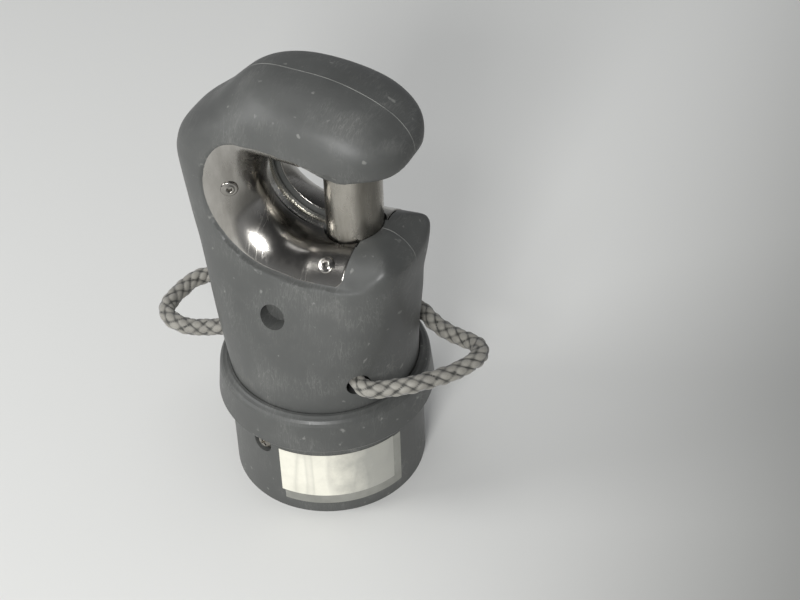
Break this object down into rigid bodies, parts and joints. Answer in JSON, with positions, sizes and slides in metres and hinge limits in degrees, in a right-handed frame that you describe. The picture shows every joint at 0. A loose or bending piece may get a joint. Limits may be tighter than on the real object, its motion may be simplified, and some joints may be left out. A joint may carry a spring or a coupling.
{
  "type": "spinnaker pole end fitting",
  "caption": "Moulded end fitting for a spinnaker pole: a hook-shaped jaw closed by a sprung plunger, released by a pull cord, on a round sleeve that plugs into the pole tube.",
  "frame": {"origin": "centre of the sleeve's bottom face", "axes": "+Z along the sleeve's axis up to the hook, +X towards the jaw's mouth, +Y to the far side of the jaw"},
  "size_m": [0.1148, 0.0724, 0.1548],
  "materials": {
    "grey_plastic": "matt moulded, fine scratches",
    "polished_steel": "polished pressed stainless",
    "turned_steel": "turned stainless, scuffed",
    "spring_steel": "drawn wire",
    "bearing_plastic": "smooth grey bearing plastic",
    "braided_cord": "plaited polyester",
    "label_paper": "aged label stock",
    "old_label_paper": "worn label layer"
  },
  "bodies": {
    "housing": {"body": "grey_plastic", "tube_sleeve": "grey_plastic", "jaw_liner_near": "polished_steel", "jaw_liner_far": "polished_steel", "rivet_near_back": "polished_steel", "rivet_near_front": "polished_steel", "rivet_far_back": "polished_steel", "rivet_far_front": "polished_steel", "plunger_bush": "bearing_plastic", "plunger_spring": "spring_steel", "spring_seat": "bearing_plastic", "retaining_ring": "spring_steel", "trigger_pin": "turned_steel", "pivot_plug": "grey_plastic", "trigger_spring": "spring_steel", "sleeve_screw_near": "turned_steel", "sleeve_screw_far": "turned_steel", "old_label": "old_label_paper", "size_label": "label_paper", "pull_cord": "braided_cord"},
    "plunger": {"plunger": "turned_steel", "cord_pin": "turned_steel"},
    "trigger": {"trigger": "turned_steel"}
  },
  "joints": [
    {"name": "plunger_slide", "type": "slide", "parent": "housing", "child": "plunger", "axis": [0, 0, -1], "range_m": [0, 0.032], "stiffness_N_per_m": 400, "springref_m": -0.02, "deforming": ["plunger_spring"]},
    {"name": "trigger_swing", "type": "hinge", "parent": "housing", "child": "trigger", "pos_m": [-0.0035, 0, 0.078], "axis": [0, -1, 0], "range_deg": [0, 4], "stiffness_Nm_per_rad": 0.6, "springref_deg": -5.73, "deforming": ["trigger_spring"]}
  ]
}
